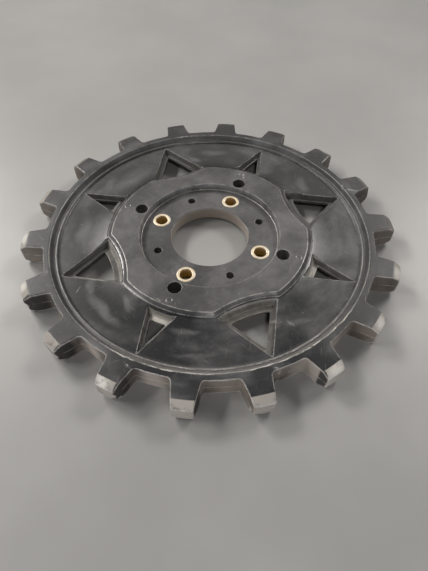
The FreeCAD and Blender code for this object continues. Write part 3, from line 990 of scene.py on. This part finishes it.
# %% A lumpy thread along an arc
def thread_tree():
    tree, given = new_tree("lumpy thread", {
        "Arc Radius": 1.0, "Start Angle": 0.0, "Sweep Angle": 1.0, "Height": 0.0, "Thickness": 0.1,
        "Waver": 0.1, "Seed": 0.0, "Points": 100})
    node = partial(add_node, tree)
    arc = node("GeometryNodeCurveArc", mode="RADIUS", Resolution=given["Points"],
               Radius=given["Arc Radius"], Start_Angle=given["Start Angle"], Sweep_Angle=given["Sweep Angle"])
    where = node("GeometryNodeInputPosition")
    shifted = node("add vectors", where, given["Seed"])
    presence = node("ramp", node("noise", shifted, per_mm(11), 3, 0.6), 0.42, 0.58)
    lump = node("ramp", node("noise", shifted, per_mm(4), 4, 0.7), 0.3, 0.7, 0.5, 1.0)
    sway = node("subtract", node("noise", shifted, per_mm(9), 3, 0.5), 0.5)
    sideways = node("scale", node("direction", where), node("multiply", sway, given["Waver"]))
    offset = node("add vectors", sideways, node("upward", given["Height"]))
    swayed = node("GeometryNodeSetPosition", Geometry=arc, Offset=offset)
    profile = node("GeometryNodeCurvePrimitiveCircle", mode="RADIUS", Resolution=7,
                   Radius=given["Thickness"])
    size = node("add", node("multiply", presence, lump), 0.05)
    tube = node("GeometryNodeCurveToMesh", Curve=swayed, Profile_Curve=profile, Fill_Caps=True, Scale=size)
    real = node("GeometryNodeRealizeInstances", Geometry=tube)
    finish = node("GeometryNodeSetMaterial", Geometry=real, Material=SCRAPED)
    node("NodeGroupOutput", Geometry=finish)
    return tree


THREAD = thread_tree()
# Name, arc radius, start and end angle, depth below the tooth face, thickness and waver.
THREADS = [("flash_rim_front", 158.1, -124, -38, 0.8, 0.6, 2.4),
           ("flash_rim_back", 158.2, 62, 104, 0.45, 0.4, 0.8),
           ("flash_bead_front", 152.9, -104, -38, 4.1, 0.42, 1.6)]
POINT_SPACING, SEED_STEP = 30, 0.1
for number, (name, radius, start, end, depth, thickness, waver) in enumerate(THREADS):
    thread = baked_from_tree(name, THREAD, {
        "Arc Radius": radius * MM, "Start Angle": math.radians(start),
        "Sweep Angle": math.radians(end - start), "Height": (WIDTH - depth) * MM,
        "Thickness": thickness * MM, "Waver": waver * MM,
        "Seed": SEED_STEP * number, "Points": int((end - start) * radius / POINT_SPACING)})
    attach(thread, "root")
    print(thread.name, len(thread.data.polygons), "faces")

# %% [markdown]
# ## Stage, light and camera
# The part lies on a pale, slightly glossy table. Two soft lamps at the back and one at the left draw the
# edges, a broad one stands for the bright far end of the room, two long low ones at the front light the
# tooth walls, and a small one lightens what faces the camera. The camera stands where the photograph
# was taken from, with the lens that fits the holes and the teeth.

# %% Table
def table_material():
    material = new_material("pale table")
    node = partial(add_node, material.node_tree)
    cloud = node("ramp", node("noise", node("place"), per_mm(160), 3, 0.55), 0.3, 0.7)
    colour = node("mix", cloud, linear("#9c9c9b"), linear("#a4a4a3"))
    node("ShaderNodeOutputMaterial", Surface=node("surface", colour, 0.38))
    return material


TABLE_HALF = 4.0
table_corners = [(x * TABLE_HALF, y * TABLE_HALF, 0) for x, y in ((-1, -1), (1, -1), (1, 1), (-1, 1))]
table = mesh_object("table", table_corners, [(0, 1, 2, 3)])
table.data.materials.append(table_material())
print("table", 2 * TABLE_HALF, "m wide")


# %% Lamps and world
WARM_WHITE, COOL_WHITE = linear("#fffbf6"), linear("#f8f9ff")
# Name, place, width and height in metres, watts and colour. Every lamp points at the middle of the part.
LAMPS = [
    ("lamp_back_right", (1.55, 1.3, 1.64), (0.9, 0.55), 25, WARM_WHITE),
    ("lamp_back_left", (-1.57, 1.3, 1.64), (0.9, 0.55), 36, WARM_WHITE),
    ("lamp_side_left", (-1.8, 0.13, 1.87), (0.9, 0.28), 19, WARM_WHITE),
    ("lamp_front_left", (-1.25, -1.8, 0.14), (1.4, 0.2), 21, COOL_WHITE),
    ("lamp_front_right", (1.4, -1.6, 0.14), (1.2, 0.2), 13, COOL_WHITE),
    ("lamp_far_wall", (0.2, 2.4, 1.9), (3.2, 1.6), 14, WARM_WHITE),
    ("lamp_above_camera", (0.25, -1.15, 1.5), (0.3, 0.3), 5, WARM_WHITE)]
for name, position, (width, height), watts, colour in LAMPS:
    light = bpy.data.lights.new(name, "AREA")
    light.shape = "RECTANGLE"
    light.size, light.size_y = width, height
    light.energy, light.color = watts, colour[:3]
    lamp = bpy.data.objects.new(name, light)
    lamp.location = position
    lamp.rotation_euler = (-Vector(position)).to_track_quat("-Z", "Y").to_euler()
    bpy.context.scene.collection.objects.link(lamp)

world = bpy.data.worlds.new("studio")
world.use_nodes = True
background = world.node_tree.nodes["Background"].inputs
background["Color"].default_value = linear("#e9e7e3")
background["Strength"].default_value = 0.03
bpy.context.scene.world = world
print(len(LAMPS), "lamps and a dim studio world")

# %% Camera at the photograph's place
# Fitted to the holes, the recess and the tooth corners: its place in metres, how steeply it looks down
# and its roll in degrees, and the lens that gives the same view on a sensor 36 mm high.
CAMERA_PLACE, LOOKS_DOWN, ROLL, LENS = (0.0047, -0.324, 0.3637), 53.12, 0.04, 29.17
camera_data = bpy.data.cameras.new("camera")
camera_data.sensor_fit, camera_data.sensor_height, camera_data.lens = "VERTICAL", 36.0, LENS
camera = bpy.data.objects.new("camera", camera_data)
camera.location = CAMERA_PLACE
camera.rotation_euler = (math.radians(90 - LOOKS_DOWN), math.radians(ROLL), 0)
bpy.context.scene.collection.objects.link(camera)
bpy.context.scene.camera = camera
bpy.context.scene.view_settings.view_transform = "Standard"
print("camera", [round(value, 3) for value in camera.location])
